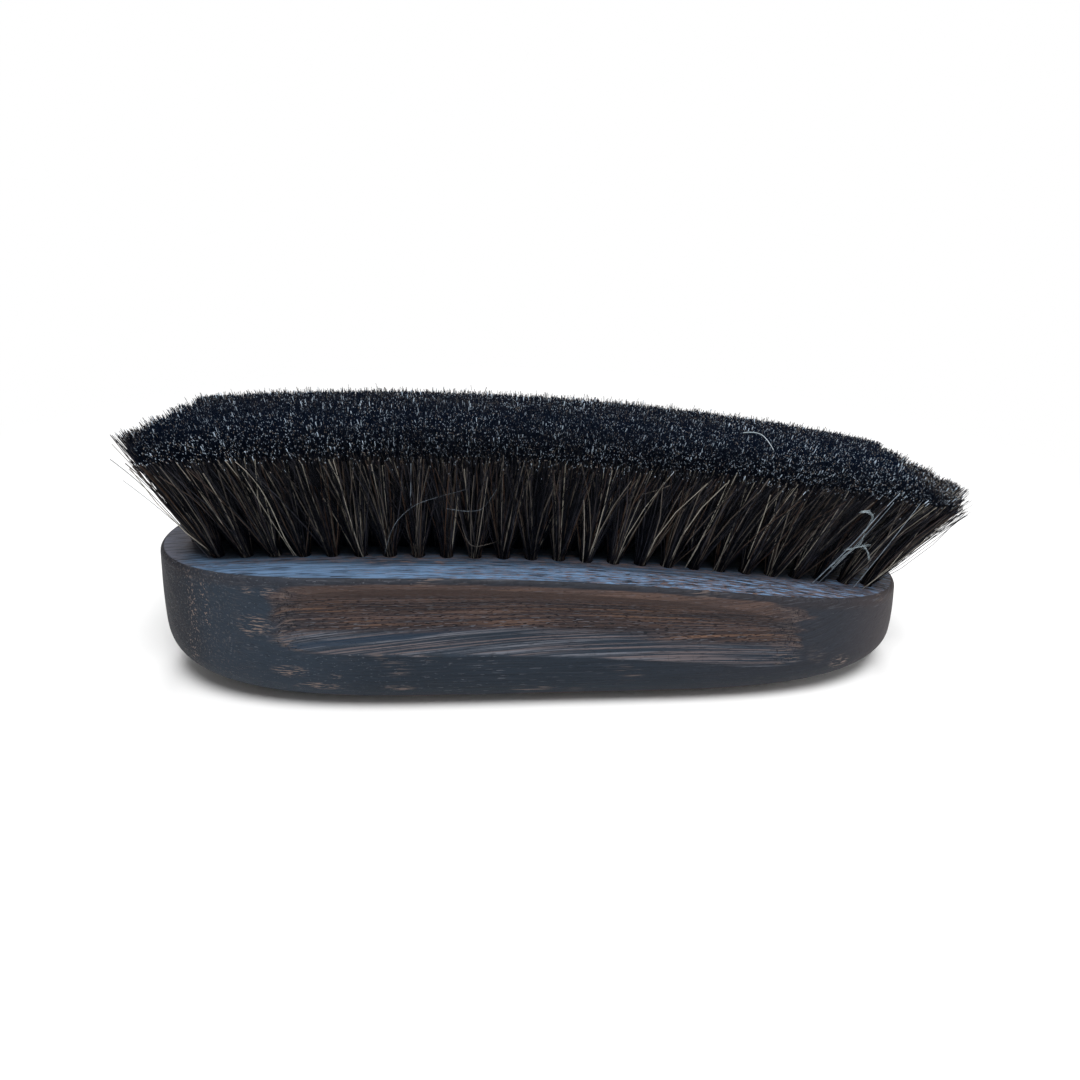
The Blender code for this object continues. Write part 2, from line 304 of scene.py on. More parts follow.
def mesh_from(bm, name):
    """Turns a bmesh into a smooth mesh with its faces pointing out."""
    bmesh.ops.recalc_face_normals(bm, faces=bm.faces)
    for face in bm.faces:
        face.smooth = True
    mesh = bpy.data.meshes.new(name)
    bm.to_mesh(mesh)
    bm.free()
    return mesh


def baked_mesh(thing):
    """The evaluated mesh of an object, with its modifiers applied."""
    bpy.context.view_layer.update()
    evaluated = thing.evaluated_get(bpy.context.evaluated_depsgraph_get())
    return bpy.data.meshes.new_from_object(evaluated)


def bar_mesh(name, kind, radius, resolution, places, shares):
    """The mesh of a round bar or thread along its places, each with its share of the radius."""
    curve = bpy.data.curves.new(name, "CURVE")
    curve.dimensions = "3D"
    curve.bevel_depth = radius
    curve.bevel_resolution = resolution
    curve.use_fill_caps = True
    spline = curve.splines.new(kind)
    spline.points.add(len(places) - 1)
    for point, place, size in zip(spline.points, places, shares):
        point.co = (*place, 1.0)
        point.radius = size
    if kind == "NURBS":
        spline.order_u = 3
        spline.use_endpoint_u = True
        spline.resolution_u = THREAD_RESOLUTION
    path = new_piece(name, curve)
    mesh = baked_mesh(path)
    bpy.data.objects.remove(path)
    return mesh


class Value:
    """The output of a node. Arithmetic on it adds math nodes, and an index picks another output of its node."""

    def __init__(self, graph, socket):
        self.graph = graph
        self.socket = socket

    def __getitem__(self, output):
        return Value(self.graph, self.socket.node.outputs[output])

    def __add__(self, other):
        return self.graph.join("ADD", self, other)

    def __sub__(self, other):
        return self.graph.join("SUBTRACT", self, other)

    def __rsub__(self, other):
        return self.graph.math("SUBTRACT", other, self)

    def __mul__(self, other):
        return self.graph.join("MULTIPLY", self, other)

    def __truediv__(self, other):
        return self.graph.join("DIVIDE", self, other)

    def __pow__(self, other):
        return self.graph.math("POWER", self, other)

    def __abs__(self):
        return self.graph.math("ABSOLUTE", self)

    def remap(self, low, high, new_low=0.0, new_high=1.0):
        """Eases from one value to another while this one goes from low to high."""
        inputs = (self, low, high, new_low, new_high)
        return self.graph.add("ShaderNodeMapRange", *inputs, interpolation_type="SMOOTHSTEP")


class Graph:
    """Adds nodes to a tree. An input is a plain value, or the output of another node."""

    def __init__(self, tree):
        self.tree = tree

    def add(self, kind, *inputs, output=0, **settings):
        node = self.tree.nodes.new(kind)
        for key, value in settings.items():
            setattr(node, key, value)
        for socket, value in zip(node.inputs, inputs):
            self.put(socket, value)
        return Value(self, node.outputs[output]) if node.outputs else node

    def put(self, socket, value):
        if isinstance(value, Value):
            self.tree.links.new(value.socket, socket)
        elif value is not None:
            socket.default_value = value

    def math(self, operation, *values):
        return self.add("ShaderNodeMath", *values, operation=operation)

    def vector(self, operation, *values, output=0):
        return self.add("ShaderNodeVectorMath", *values, output=output, operation=operation)

    def join(self, operation, first, second):
        """A math node for two values, or a vector math node where the first is a vector."""
        way = self.vector if first.socket.type in ("VECTOR", "RGBA") else self.math
        return way(operation, first, second)

    def larger(self, first, second):
        return self.math("MAXIMUM", first, second)

    def scaled(self, vector, amount):
        return self.vector("SCALE", vector, None, None, amount)

    def point(self, x, y, z):
        return self.add("ShaderNodeCombineXYZ", x, y, z)

    def split(self, vector):
        parts = self.add("ShaderNodeSeparateXYZ", vector)
        return parts[0], parts[1], parts[2]

    def blend(self, factor, first, second):
        return self.add("ShaderNodeMix", factor, None, None, None, first, second, output=1, data_type="VECTOR")

    def mixed(self, factor, first, second, way="MIX"):
        inputs = [factor] + [None] * 5 + [first, second]
        return self.add("ShaderNodeMix", *inputs, output=2, data_type="RGBA", blend_type=way)

    def layered(self, base, *layers):
        """A colour with others laid over it in turn: how much of each, which, and how much brighter."""
        for amount, over, times in layers:
            base = self.mixed(amount, base, tint(over, times))
        return base

    def shaded(self, base, shade):
        """A colour times a shade."""
        return self.mixed(1.0, base, self.add("ShaderNodeCombineColor", shade, shade, shade), "MULTIPLY")

    def ramp(self, value, stops, interpolation="LINEAR"):
        output = self.add("ShaderNodeValToRGB", value)
        bar = output.socket.node.color_ramp
        bar.interpolation = interpolation
        while len(bar.elements) > 1:
            bar.elements.remove(bar.elements[0])
        for number, (place, tone) in enumerate(stops):
            element = bar.elements[0] if number == 0 else bar.elements.new(place)
            element.position = place
            element.color = tone
        return output


def new_material(name):
    """A material with an empty graph, and its Principled shader already at the output."""
    material = bpy.data.materials.new(name)
    material.use_nodes = True
    shader = material.node_tree.nodes["Principled BSDF"]
    return material, Graph(material.node_tree), shader


def set_shader(graph, shader, colour_out, roughness, specular):
    """Sets what every finish has: its colour, its roughness and how much it reflects."""
    graph.put(shader.inputs["Base Color"], colour_out)
    graph.put(shader.inputs["Roughness"], roughness)
    graph.put(shader.inputs["Specular IOR Level"], specular)


def tint(values, times=1.0):
    """A colour with its alpha, made brighter or darker."""
    return tuple(value * times for value in values) + (1.0,)


# The wooden block


def plan_shares(brush):
    """Points evenly spaced round the plan, as shares of half the length and half the width."""
    turns = np.linspace(0.0, math.pi / 2, PLAN_SAMPLES)
    along = np.cos(turns) ** (2.0 / PLAN_END_POWER)
    across = np.sin(turns) ** (2.0 / PLAN_SIDE_POWER)
    steps = np.hypot(np.diff(along) * brush.block.length, np.diff(across) * brush.block.width)
    walked = np.concatenate(([0.0], np.cumsum(steps)))
    places = np.linspace(0.0, walked[-1], PLAN_POINTS // 4 + 1)
    corner = list(zip(np.interp(places, walked, along), np.interp(places, walked, across)))
    corner = [(float(a), float(b)) for a, b in corner]
    half = corner + [(-a, b) for a, b in reversed(corner[:-1])]
    return half + [(a, -b) for a, b in reversed(half[1:-1])]


def block_rings(brush):
    """The block's rings from the face to the back: outset at the ends, at the sides, height share and drop."""
    sizes = brush.block
    rings = []
    for number in range(RIM_RINGS + 1):
        turn = number / RIM_RINGS * math.pi / 2
        inset, drop = sizes.rim_round * (1.0 - math.sin(turn)), sizes.rim_round * (1.0 - math.cos(turn))
        rings.append((-inset, -inset, 1.0, drop))
    for number in range(1, SIDE_RINGS + 1):
        down = number / SIDE_RINGS
        bulge = sizes.side_bulge * math.sin(down * math.pi / 2)
        rings.append((bulge, bulge, 1.0 - (1.0 - sizes.widest) * down, sizes.rim_round * (1.0 - down)))
    side_round = (sizes.width - sizes.rest_width) / 2 + sizes.side_bulge
    for number in range(1, BACK_RINGS + 1):
        turn = number / BACK_RINGS * math.pi / 2
        inward = 1.0 - max(math.cos(turn), 0.0) ** (2.0 / BACK_ROUND_POWER)
        down = math.sin(turn) ** (2.0 / BACK_ROUND_POWER)
        end, side = sizes.side_bulge - sizes.end_round * inward, sizes.side_bulge - side_round * inward
        rings.append((end, side, sizes.widest * (1.0 - down), 0.0))
    return rings


def strip_cap(bm, ring):
    """Closes a ring with one face and splits it across, so that it bends only along the block."""
    rest = bm.faces.new(ring)
    for step in range(1, len(ring) // 2 - 1):
        halves = {rest, bmesh.utils.face_split(rest, ring[step], ring[-step])[0]}
        rest = next(face for face in halves if ring[step + 1] in face.verts)


def block_mesh(brush):
    """The block's outer shape: a sphere's rings drawn out to the block's plan and heights."""
    rings = block_rings(brush)
    shares = plan_shares(brush)
    bm = bmesh.new()
    bmesh.ops.create_uvsphere(bm, u_segments=PLAN_POINTS, v_segments=len(rings) + 1, radius=1.0)
    poles = [vert for vert in bm.verts if len(vert.link_edges) == PLAN_POINTS]
    bmesh.ops.delete(bm, geom=poles, context="VERTS")
    loops = sorted(bm.verts, key=lambda vert: -vert.co.z)
    for number, (end_outset, side_outset, height_share, drop) in enumerate(rings):
        ring = loops[number * PLAN_POINTS : (number + 1) * PLAN_POINTS]
        ring.sort(key=lambda vert: round(math.atan2(vert.co.y, vert.co.x), 4) % math.tau)
        for vert, (along, across) in zip(ring, shares):
            x = along * (brush.block.length / 2 + end_outset)
            y = across * (brush.block.width / 2 + side_outset)
            low, high = back_height(brush, x), face_height(brush, x)
            vert.co = (x, y, low + height_share * (high - low) - drop)
        if number in (0, len(rings) - 1):
            strip_cap(bm, ring)
    return mesh_from(bm, "wooden_block")


def groove_cutter(brush, side):
    """A round bar with rounded ends that cuts one finger groove."""
    sizes = brush.groove
    half_height, half_run = sizes.height / 2, sizes.run / 2
    radius = (half_height**2 + sizes.depth**2) / (2 * sizes.depth)
    marks = [(x, 1.0) for x in np.linspace(-half_run, half_run, GROOVE_POINTS)]
    for number in range(1, GROOVE_END_POINTS + 1):
        turn = number / (GROOVE_END_POINTS + 1) * math.pi / 2
        end = (half_run + radius * math.sin(turn), math.cos(turn))
        marks = [(-end[0], end[1])] + marks + [end]
    places = []
    for x, size in marks:
        out = brush.block.width / 2 + brush.block.side_bulge + radius - sizes.depth + sizes.turn * x / half_run
        places.append((x, side * out, face_height(brush, x) - sizes.edge_drop - half_height))
    shares = [size for x, size in marks]
    bm = bmesh.new()
    bm.from_mesh(bar_mesh("groove_path", "POLY", radius, GROOVE_RESOLUTION, places, shares))
    bmesh.ops.remove_doubles(bm, verts=bm.verts, dist=radius * WELD_SHARE)
    return new_piece("groove_cutter", mesh_from(bm, "groove_cutter"))


def drill_cutter(brush):
    """Round drills, one for each tuft."""
    bm = bmesh.new()
    for row in tuft_places(brush):
        for base, tip in row:
            axis = drill_axis(brush, base, tip)
            top, bottom = base + axis * OVERRUN, base - axis * brush.tufts.hole_depth
            turn = axis.to_track_quat("Z", "Y").to_matrix().to_4x4()
            bmesh.ops.create_cone(
                bm,
                cap_ends=True,
                segments=HOLE_SIDES,
                radius1=brush.tufts.hole_diameter / 2,
                radius2=brush.tufts.hole_diameter / 2,
                depth=(top - bottom).length,
                matrix=Matrix.Translation((top + bottom) / 2) @ turn,
            )
    return new_piece("drill_cutter", mesh_from(bm, "drills"))


# Marks worn through the stain on the sides: place along the block, height, and half their size each way
WORN_SPOTS = (
    (-0.0590, 0.0115, 0.0042, 0.0016),
    (-0.0520, 0.0072, 0.0060, 0.0012),
    (-0.0490, 0.0105, 0.0016, 0.0008),
    (-0.0660, 0.0225, 0.0042, 0.0030),
    (-0.0640, 0.0312, 0.0050, 0.0010),
    (-0.0350, 0.0068, 0.0040, 0.0009),
    (-0.0040, 0.0057, 0.0050, 0.0010),
    (0.0706, 0.0088, 0.0028, 0.0020),
    (-0.0804, 0.0230, 0.0013, 0.0110),
    (-0.0815, 0.0120, 0.0010, 0.0070),
    (-0.0772, 0.0250, 0.0012, 0.0080),
)
RING_LEAN = -0.66
RING_TILT = 0.006
RING_BEND = -0.2
RING_WANDER = (0.0, 0.0018, 0.0018)
VEIN_RISE = 0.031
VEIN_BEND = -0.94
DARK_BAND_LEVEL = 0.0226
DARK_BAND_WANDER = 0.0030
TORN_PLACE = 0.0156
RAGGED_ENDS = 0.012
GROOVE_SHIFT = 0.0015
GROOVE_FADE = 0.0050
GRAIN_HEIGHT = 0.0002


def wood_material(brush):
    """Dark stained open-grained wood: growth rings, pores, a blue-grey face, worn brown finger grooves and painted
    light and shade.
    """
    finish, block, groove = brush.finishes, brush.block, brush.groove
    material, graph, shader = new_material("stained_wood")
    place = graph.add("ShaderNodeTexCoord", output=3)
    x, y, z = graph.split(place)
    normal = graph.split(graph.add("ShaderNodeTexCoord", output=1))[2]

    def noise(place, fineness, detail=2.0, rough=0.5, output=0):
        """A noise with its own fineness along, across and up."""
        mapped = graph.vector("MULTIPLY", place, fineness)
        return graph.add("ShaderNodeTexNoise", mapped, None, 1.0, detail, rough, output=output)

    # The rings lean, so that the hollow of the groove cuts them at a slant, and they wander along the block
    wander = (noise(place, (16.0, 40.0, 40.0), output=1) - (0.5, 0.5, 0.5)) * RING_WANDER
    drifting = place + wander
    moved_y, moved_z = graph.split(drifting)[1:]
    ring = x * (x * RING_BEND + RING_TILT) + (moved_z * RING_LEAN + moved_y)
    grain = graph.point(x, ring, 0.0)
    swept = moved_z - x * (x * VEIN_BEND + VEIN_RISE)
    vein = graph.point(x, swept, 0.4)
    turned = abs(y) * x.remap(-0.05, 0.05, -1.0, 1.0)
    round_side = graph.point(x - turned, z, 0.2)
    lines = noise(grain, (40.0, 6500.0, 0.0)).remap(0.42, 0.58)
    broad = noise(grain, (12.0, 700.0, 0.0))
    bands = noise(grain, (24.0, 2600.0, 0.0)).remap(0.42, 0.58)
    pores = noise(grain, (620.0, 5200.0, 0.0), 1.0).remap(0.58, 0.64)
    fibres = noise(grain + (0.3, 0.3, 0.3), (420.0, 6000.0, 0.0), 1.0).remap(0.60, 0.68)
    veins = noise(vein, (24.0, 3300.0, 0.0)).remap(0.43, 0.62)
    vein_tones = noise(vein, (16.0, 1100.0, 0.0), 1.0).remap(0.44, 0.56)
    vein_pores = noise(vein, (330.0, 5200.0, 0.0), 1.0).remap(0.58, 0.64)
    flecks = noise(round_side, (300.0, 3000.0, 0.0), 2.0, 0.6).remap(0.53, 0.60)
    brushed = noise(round_side, (170.0, 2300.0, 0.0), 2.0, 0.6).remap(0.56, 0.68)
    glints = noise(round_side, (900.0, 2600.0, 0.0), 2.0, 0.6).remap(0.63, 0.68)
    speckle = noise(place, (2200.0, 2600.0, 1500.0), 2.0, 0.6).remap(0.57, 0.64)
    patches = noise(place, (45.0, 75.0, 75.0))

    # How far a point lies below the face, and how near it is to the middle of the groove
    half = block.length / 2
    slope = x * (-block.face_fall / 2 / half)
    bend = x * x * (-block.face_crown / half**2)
    below = slope + bend + block.height - z
    level = (below - (groove.edge_drop + groove.height / 2)) / (groove.height / 2)
    ragged = noise(place, (100.0, 420.0, 420.0), 3.0, 0.6) - 0.5
    along = (ragged * RAGGED_ENDS + (x + GROOVE_SHIFT)) / (groove.run / 2 + GROOVE_FADE)
    square = abs(along) ** 9.0
    round_off = abs(level * 0.96 + 0.04) ** 8.0
    inside = (ragged * 0.7 + (square + round_off)).remap(1.0, 0.62)
    end = square.remap(0.15, 0.5) * inside

    # The stained sides and back, with marks worn through the stain
    paler = x.remap(-0.038, -0.056) * x.remap(-0.083, -0.076)
    worn_through = graph.larger(patches.remap(0.60, 0.70) * 0.5, x.remap(-0.064, -0.074, 0.0, 0.20))
    for spot_x, spot_z, half_x, half_z in WORN_SPOTS:
        away = graph.point((x - spot_x) / half_x, (z - spot_z) / half_z, 0.0)
        away = graph.vector("LENGTH", away, output=1)
        worn_through = graph.larger(worn_through, away.remap(1.25, 0.55))
    marks = graph.add("ShaderNodeMix", x.remap(-0.068, -0.072), None, flecks, speckle)
    foot = z.remap(0.0042, 0.0026) * patches.remap(0.35, 0.5, 0.3, 1.0)
    stained = graph.layered(
        tint(finish.stain, 0.80),
        (lines, finish.stain, 1.12),
        (paler * 0.4, finish.stain, 1.9),
        (x.remap(0.0, 0.070, 0.0, 0.14), finish.bare, 0.65),
        (below.remap(0.0035, 0.0015, 0.0, 0.30), finish.bare, 0.30),
        # Painted light: lighter towards the right end, as if lit from that side.
        (x.remap(0.066, 0.090, 0.0, 0.30), finish.bare, 0.85),
        (x.remap(-0.074, -0.088, 0.0, 0.74), finish.pore, 2.0),
        (brushed * below.remap(0.0050, 0.0030, 0.13, 0.40), finish.sheen, 0.8),
        (pores * 0.3, finish.pore, 1.0),
        (glints * x.remap(0.030, -0.020, 0.10, 0.55), finish.sheen, 1.1),
        (worn_through * marks, finish.worn, 1.2),
        (foot * 0.6, finish.bare, 0.6),
    )

    # The finger grooves: brown between dark lines, and below them blue-grey veins between bands of dark stain; the
    # blue-grey, low in the groove where the wood faces up, is partly pale wood and partly painted sheen.
    warm = noise(grain, (26.0, 480.0, 0.0), 1.0).remap(0.50, 0.66) * level.remap(-0.72, -0.35, 0.0, 0.72)
    brown = graph.layered(
        tint(finish.bare, 0.70),
        (broad.remap(0.38, 0.60), finish.bare, 1.18),
        (warm, finish.warm, 1.0),
        ((1.0 - bands) * 0.65, finish.stain, 1.05),
        ((1.0 - lines) * 0.7, finish.pore, 2.0),
        (fibres * 0.55, finish.sheen, 1.15),
        (pores * 0.85, finish.pore, 1.0),
        (level.remap(-0.50, -0.78, 0.0, 0.55), finish.bare, 0.76),
    )
    band = abs(patches * DARK_BAND_WANDER + swept - (DARK_BAND_LEVEL + DARK_BAND_WANDER / 2))
    band = band.remap(0.0008, 0.0004) * x.remap(0.010, -0.015)
    # Pale wood with painted sheen between the dark veins
    veined = graph.layered(tint(finish.sheen, 1.12), (vein_tones * 0.6, finish.bare, 1.05))
    veined = graph.layered(
        graph.mixed(veins * 0.88, tint(finish.stain, 1.05), veined),
        (vein_pores * 0.5, finish.pore, 2.0),
        (band * 0.9, finish.face, 0.16),
    )
    worn = graph.layered(
        graph.mixed((broad * 0.9 + level).remap(0.62, 0.90), brown, veined),
        (end * 0.35, finish.stain, 1.1),
        (end * flecks * 0.6, finish.worn, 0.9),
        (end * speckle * 0.8, finish.pore, 1.0),
    )

    # The bristle face: lighter blue along its rim, which is painted sheen over the blue-grey stain, and duller and
    # browner between the holes, where painted shade darkens the stain
    face_lines = noise(place, (45.0, 1000.0, 0.0)).remap(0.38, 0.62)
    face_bands = noise(place, (20.0, 260.0, 0.0))
    face_flecks = noise(place, (260.0, 3600.0, 0.0), 2.0, 0.6).remap(0.56, 0.62)
    face_pores = noise(drifting, (140.0, 2600.0, 0.0), 1.0).remap(0.575, 0.605)
    streaks = noise(drifting, (210.0, 1500.0, 0.0), 2.0, 0.6)
    chips = noise(drifting, (420.0, 2200.0, 0.0), 2.0, 0.6)
    chip_share = x.remap(-0.050, 0.030, 0.15, 1.0)
    margin = face_bands * 0.25 + (abs(x / half) ** PLAN_END_POWER + (y / (block.width / 2)) ** PLAN_SIDE_POWER)
    margin = margin - x.remap(-0.062, -0.078, 0.0, 0.18) - x.remap(0.020, -0.040, 0.0, 0.05)
    # Painted sheen: how much of the rim takes the lighter face colour, less towards the far left end
    rim_sheen = margin.remap(0.55, 0.70) * x.remap(-0.085, -0.078, 0.3, 1.0)
    # The rim's colour: the face colour, whose blue-grey is partly painted sheen, with streaks and chips
    satin = graph.layered(
        tint(finish.face, 0.74),
        (face_lines, finish.face, 1.10),
        (x.remap(-0.030, 0.060, 0.0, 0.68), finish.dusty, 0.85),
        (streaks.remap(0.53, 0.58) * chip_share, finish.face, 1.35),
        (chips.remap(0.55, 0.59) * chip_share, finish.bare, 1.25),
        (streaks.remap(0.43, 0.39) * chip_share, finish.stain, 0.7),
    )
    # Painted shade: inside the outer rows, under the hair, the face is darkened towards the stain.
    under = abs(y).remap(0.0150, 0.0128, 0.0, 0.85) * abs(x).remap(0.0835, 0.0785)
    # The face inside the rim: a darker stain that is partly painted shade, with lines, flecks and dusty stain at
    # the left end.
    inner_stain_and_shade = graph.layered(
        tint(finish.stain, 1.7),
        (face_lines, finish.face, 0.55),
        (face_flecks * 0.85, finish.bare, 1.6),
        (x.remap(-0.076, -0.083, 0.0, 0.9), finish.dusty, 1.20),
        (under, finish.stain, 0.8),
    )
    torn = abs(abs(y) - TORN_PLACE).remap(0.0018, 0.0008) * chips.remap(0.47, 0.53)
    # The painted sheen on the rim and the shaded face inside it, with torn fibres, flecks and pores over both
    satin = graph.layered(
        graph.mixed(rim_sheen, inner_stain_and_shade, satin),
        (torn * 0.6, finish.dusty, 0.8),
        (face_bands.remap(0.54, 0.62) * face_flecks * 0.7, finish.bare, 1.5),
        (face_pores * 0.8, finish.pore, 2.0),
    )

    # Surfaces facing up take the face colour, which is lighter partly by painted light from above.
    top = normal.remap(0.90, 0.985)
    colour_out = graph.mixed(top, graph.mixed(inside, stained, worn), satin)
    set_shader(graph, shader, colour_out, top * -0.15 + (lines * 0.1 + 0.55), 0.1)
    height = (lines * 0.4 - pores) * (inside * 0.7 + 0.3)
    graph.put(shader.inputs["Normal"], graph.add("ShaderNodeBump", 0.5, GRAIN_HEIGHT, None, height))
    return material


class BRUSH_OT_wooden_block(bpy.types.Operator):
    """Builds the wooden block with its finger grooves and drilled holes"""

    bl_idname = "brush.wooden_block"
    bl_label = "Wooden block"

    def execute(self, context):
        brush = context.scene.polishing_brush
        block = new_piece("rough_block", block_mesh(brush))
        cutters = [groove_cutter(brush, side) for side in (-1, 1)] + [drill_cutter(brush)]
        for cutter in cutters:
            modifier = block.modifiers.new(cutter.name, "BOOLEAN")
            modifier.operation = "DIFFERENCE"
            modifier.solver = "EXACT"
            modifier.object = cutter
        piece = new_piece("wooden_block", baked_mesh(block), wood_material(brush))
        for thing in cutters + [block]:
            bpy.data.objects.remove(thing)
        piece.data.set_sharp_from_angle(angle=SHARP_ANGLE)
        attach(piece, BODY)
        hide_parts("block")
        return {"FINISHED"}


# The hair

LEAST_LOOSE = 0.65
WILD_IN_MIDDLE = 1.6
WILD_AT_ENDS = 0.4
WILD_BOW = 2.5
LOOSE_WAY = (1.0, 0.75, 0.0)
CLUMP_SIZE = 0.0013
CLUMP_PULL = 0.35
CALM_FROM = 0.070
CALM_TO = 0.086
OUTER_HAIR_POINTS = 4
INNER_HAIR_POINTS = 3
HAIR_SIDES = 3
HAIR_TAPER = 0.3
HAIR_STRAIGHTNESS = 0.65
SHORT_HAIR_DROP = 2.0
SIDE_DROP = 0.5
THICKNESS_RANGE = (0.6, 1.1)
PALE_THICKNESS = 0.95
STRIP_FROM = 0.3
STRIP_WIDTH = 0.6
ROW_SEEDS = 100
HALF_ROW_SEEDS = 50
TONE_SLOTS = 64
CHANCE_STEP = 0.618
LIT_CHANCE = 0.835
FULLY_LIT_CHANCE = 0.895
LIT_FROM = 0.9895
SHOWY_CHANCE = 0.996
SHOWY_LENGTH = 0.0005
SHOWY_SIZE = 0.45
SHOWY_LIT_LENGTH = 0.030
UV_NAME = "OFBake"
HAIR_INPUTS = {
    "Geometry": "Geometry",
    "Hairs in a tuft": "Int",
    "Hair thickness": "Float",
    "Foot radius": "Float",
    "Fan along": "Float",
    "Fan across": "Float",
    "Trim height": "Float",
    "Trim slope": "Float",
    "Trim bend": "Float",
    "Trim roughness": "Float",
    "Bow": "Float",
    "Edge place": "Float",
    "Points on a hair": "Int",
    "Seed": "Int",
    "Material": "Material",
}


def hair_tree():
    """A node tree that grows a bundle of bowed hairs from each tuft's point up to the trimmed top."""
    tree = bpy.data.node_groups.new("grown_hair", "GeometryNodeTree")
    for name, kind in HAIR_INPUTS.items():
        tree.interface.new_socket(name, in_out="INPUT", socket_type=f"NodeSocket{kind}")
    tree.interface.new_socket("Geometry", in_out="OUTPUT", socket_type="NodeSocketGeometry")
    graph = Graph(tree)
    given = graph.add("NodeGroupInput")
    value = {name: given[name] for name in HAIR_INPUTS}

    def draw(low, high, number):
        """A random number for each hair."""
        inputs = [None, None, low, high, None, None, None, None, value["Seed"] + float(number)]
        return graph.add("FunctionNodeRandomValue", *inputs, output=1, data_type="FLOAT")

    def draw_vector(number):
        """A random vector for each hair."""
        inputs = [(-1.0,) * 3, (1.0,) * 3] + [None] * 6 + [value["Seed"] + float(number)]
        return graph.add("FunctionNodeRandomValue", *inputs, data_type="FLOAT_VECTOR")

    def named(name, kind="FLOAT_VECTOR"):
        return graph.add("GeometryNodeInputNamedAttribute", name, data_type=kind)

    def store(geometry, name, field, kind="FLOAT", domain="POINT"):
        return graph.add(
            "GeometryNodeStoreNamedAttribute", geometry, None, name, field, data_type=kind, domain=domain
        )

    hairs = graph.add("GeometryNodeMeshToPoints", value["Geometry"])
    hairs = graph.add("GeometryNodeDuplicateElements", hairs, None, value["Hairs in a tuft"], domain="POINT")

    # Each hair's place in its bundle is a point of a round disc, and its end is the same place in a wider one
    out = graph.math("SQRT", draw(0.0, 1.0, 1))
    turn = draw(0.0, math.tau, 2)
    disc = graph.point(out * graph.math("COSINE", turn), out * graph.math("SINE", turn), 0.0)
    root = graph.add("GeometryNodeInputPosition") + graph.scaled(disc, value["Foot radius"])
    wild = draw(0.0, 1.0, 8) ** 3.0
    calm = abs(graph.split(named("tuft_end"))[0]).remap(CALM_FROM, CALM_TO, WILD_IN_MIDDLE, WILD_AT_ENDS)
    stray = graph.scaled(draw_vector(3) * LOOSE_WAY, wild * calm + LEAST_LOOSE)
    fan = graph.point(value["Fan along"], value["Fan across"], 0.0)
    end = (disc + stray) * fan + named("tuft_end")

    # The ends gather in small clumps, some a little taller than others
    flat_end = end * (1.0, 1.0, 0.0)
    cell = graph.vector("SNAP", flat_end, (CLUMP_SIZE,) * 3)
    chance = graph.split(graph.add("ShaderNodeTexWhiteNoise", cell + (0.1, 0.1, 0.1), output=1))
    clump = cell + graph.scaled(graph.point(chance[0], chance[1], 0.0), CLUMP_SIZE)
    end = end + graph.scaled(clump - flat_end, draw(0.0, CLUMP_PULL, 10))
    end_x, end_y = graph.split(end)[:2]
    trim = end_x * value["Trim slope"] + end_x * end_x * value["Trim bend"] + value["Trim height"]
    uneven = draw(-0.5, 0.5, 5) - draw(0.0, 1.0, 4) ** 5.0 * SHORT_HAIR_DROP + chance[2]
    ragged = graph.larger(abs(end_y) - value["Edge place"], 0.0) * draw(0.0, SIDE_DROP, 11)
    showy = graph.math("GREATER_THAN", draw(0.0, 1.0, 12), SHOWY_CHANCE)
    trim = trim + uneven * value["Trim roughness"] - ragged + showy * SHOWY_LENGTH
    end = graph.point(end_x, end_y, trim)

    # A hair leaves its hole the way the hole was drilled, and bows a little on its way up
    tall = graph.vector("DISTANCE", root, end, output=1)
    straight = graph.scaled(named("tuft_way"), tall * 0.5)
    straight = graph.blend(HAIR_STRAIGHTNESS, straight, graph.scaled(end - root, 0.5))
    middle = root + straight + graph.scaled(draw_vector(6), value["Bow"] * (wild * WILD_BOW + 1.0))
    slot = graph.math("FLOOR", draw(0.0, TONE_SLOTS - 1.01, 7))
    size = (slot / float(TONE_SLOTS)) ** 3.5 * PALE_THICKNESS + draw(*THICKNESS_RANGE, 9) + showy * SHOWY_SIZE
    slot = graph.larger(slot, showy * (TONE_SLOTS - 1.0))
    hairs = store(hairs, "hair_root", root, "FLOAT_VECTOR")
    hairs = store(hairs, "hair_middle", middle, "FLOAT_VECTOR")
    hairs = store(hairs, "hair_end", end, "FLOAT_VECTOR")
    hairs = store(hairs, "hair_slot", slot)
    hairs = store(hairs, "hair_size", size)

    # One line for each hair, bent to its root, middle and end
    line = graph.add("GeometryNodeCurvePrimitiveLine", (0.0, 0.0, 0.0), (0.0, 0.0, 1.0))
    line = graph.add("GeometryNodeResampleCurve", line, None, value["Points on a hair"])
    lines = graph.add("GeometryNodeInstanceOnPoints", hairs, None, line)
    lines = graph.add("GeometryNodeRealizeInstances", lines)
    along = graph.add("GeometryNodeSplineParameter")
    first = graph.blend(along, named("hair_root"), named("hair_middle"))
    second = graph.blend(along, named("hair_middle"), named("hair_end"))
    lines = graph.add("GeometryNodeSetPosition", lines, None, graph.blend(along, first, second))
    lines = store(lines, "hair_along", along)
    profile = graph.add("GeometryNodeCurvePrimitiveCircle", HAIR_SIDES, None, None, None, 0.5)
    profile = store(profile, "hair_around", graph.add("GeometryNodeSplineParameter"))
    taper = (named("hair_along", "FLOAT") * -HAIR_TAPER + 1.0) * named("hair_size", "FLOAT")
    mesh = graph.add("GeometryNodeCurveToMesh", lines, profile, taper * value["Hair thickness"], True)

